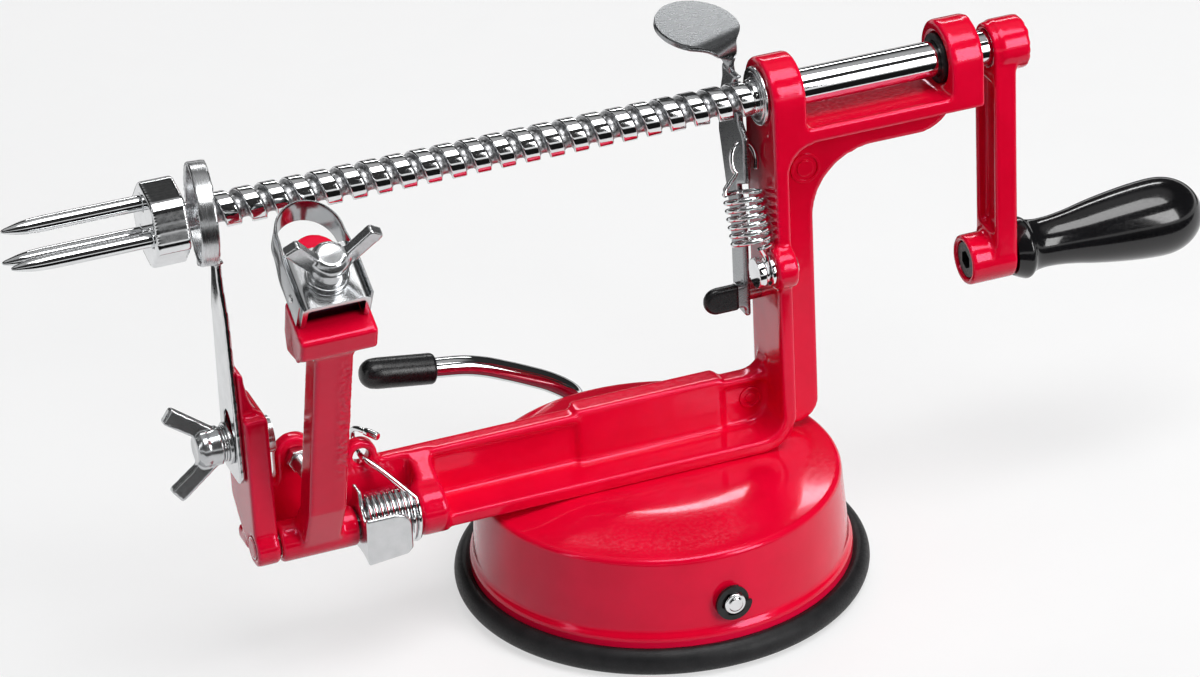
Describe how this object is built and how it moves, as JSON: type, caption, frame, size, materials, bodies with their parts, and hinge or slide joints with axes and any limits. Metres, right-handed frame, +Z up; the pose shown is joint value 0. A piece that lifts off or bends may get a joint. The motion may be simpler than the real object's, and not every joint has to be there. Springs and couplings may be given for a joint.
{
  "type": "apple peeler",
  "caption": "Hand-cranked apple peeler, corer and slicer on a suction base: threaded fork shaft, crank with handle, sprung peeler arm and coring ring.",
  "frame": {"origin": "middle of the suction pad's flat underside", "axes": "+X along the shaft from the fork towards the crank, +Y away from the peeler arm, +Z up"},
  "size_m": [0.3069, 0.108, 0.1424],
  "materials": {
    "red_enamel": "glossy red enamel on cast and pressed metal",
    "chrome_plate": "polished chrome",
    "zinc_plate": "bright zinc plate",
    "bright_steel": "rolled bright steel sheet",
    "black_rubber": "satin black rubber",
    "black_steel": "blackened spring steel",
    "black_nylon": "black nylon",
    "black_gloss": "glossy black plastic"
  },
  "bodies": {
    "frame": {"frame": "red_enamel", "base_dome": "red_enamel", "suction_pad": "black_rubber", "frame_screws": "zinc_plate", "front_bush": "zinc_plate", "lever_pivot": "zinc_plate", "spring_stud": "chrome_plate", "return_spring": "chrome_plate", "arm_pin": "bright_steel", "arm_spring": "chrome_plate", "stop_screw": "zinc_plate", "slicer_bolt": "zinc_plate", "slicer_washer": "zinc_plate"},
    "bush": {"rear_bush": "black_nylon"},
    "shaft": {"crank_shaft": "chrome_plate", "fork_hub": "chrome_plate", "fork_prongs": "chrome_plate", "crank_arm": "red_enamel", "crank_screw": "zinc_plate"},
    "grip": {"handle_grip": "black_gloss", "handle_bolt": "zinc_plate"},
    "thumb": {"thumb_lever": "bright_steel"},
    "arm": {"peeler_arm": "red_enamel", "peeler_bolt": "zinc_plate", "peeler_washers": "zinc_plate"},
    "bracket": {"peeler_bracket": "bright_steel", "peeler_blade": "bright_steel"},
    "peeler_nut": {"peeler_wing_nut": "zinc_plate"},
    "latch": {"arm_latch": "zinc_plate"},
    "suction": {"suction_lever": "chrome_plate", "lever_cam": "zinc_plate", "lever_grip": "black_rubber", "lever_clip": "black_steel"},
    "stem": {"pad_stem": "black_nylon"},
    "slicer": {"slicer_blade": "bright_steel"},
    "slicer_nut": {"slicer_wing_nut": "zinc_plate"}
  },
  "joints": [
    {"name": "crank_spin", "type": "hinge", "parent": "frame", "child": "bush", "pos_m": [0.08, 0, 0.125], "axis": [1, 0, 0], "range_deg": [0, 5760]},
    {"name": "shaft_feed", "type": "slide", "parent": "bush", "child": "shaft", "axis": [1, 0, 0], "range_m": [0, 0.0992]},
    {"name": "grip_spin", "type": "hinge", "parent": "shaft", "child": "grip", "pos_m": [0.1, 0, 0.068], "axis": [1, 0, 0], "continuous": true},
    {"name": "thumb_release", "type": "hinge", "parent": "frame", "child": "thumb", "pos_m": [0.0262, 0.005, 0.071], "axis": [1, 0, 0], "range_deg": [-8, 0], "stiffness_Nm_per_rad": 0.3, "springref_deg": 5.73, "deforming": ["return_spring"]},
    {"name": "arm_swing", "type": "hinge", "parent": "frame", "child": "arm", "pos_m": [-0.0909, -0.0065, 0.0374], "axis": [1, 0, 0], "range_deg": [0, 45], "stiffness_Nm_per_rad": 0.25, "springref_deg": -17.19, "deforming": ["arm_spring"]},
    {"name": "bracket_set", "type": "slide", "parent": "arm", "child": "bracket", "axis": [0, 0.866, 0.5], "range_m": [-0.002, 0.002]},
    {"name": "peeler_nut_turn", "type": "hinge", "parent": "arm", "child": "peeler_nut", "pos_m": [-0.0909, -0.0325, 0.11885], "axis": [0, -0.5, 0.866], "range_deg": [-90, 720]},
    {"name": "latch_press", "type": "hinge", "parent": "frame", "child": "latch", "pos_m": [-0.08, -0.0065, 0.0374], "axis": [1, 0, 0], "range_deg": [0, 12], "stiffness_Nm_per_rad": 0.02, "springref_deg": -5.73},
    {"name": "suction_throw", "type": "hinge", "parent": "frame", "child": "suction", "pos_m": [0, 0, 0.0167], "axis": [0, 1, 0], "range_deg": [0, 130]},
    {"name": "pad_lift", "type": "slide", "parent": "frame", "child": "stem", "axis": [0, 0, 1], "range_m": [0, 0.003]},
    {"name": "slicer_set", "type": "slide", "parent": "frame", "child": "slicer", "axis": [0, 0, 1], "range_m": [-0.006, 0]},
    {"name": "slicer_nut_turn", "type": "hinge", "parent": "frame", "child": "slicer_nut", "pos_m": [-0.112, 0, 0.0636], "axis": [1, 0, 0], "range_deg": [-90, 720]}
  ],
  "couplings": [
    {"joint": "shaft_feed", "follows": "crank_spin", "m_per_rad": 0.00098676},
    {"joint": "pad_lift", "follows": "suction_throw", "m_per_rad": 0.001322}
  ]
}
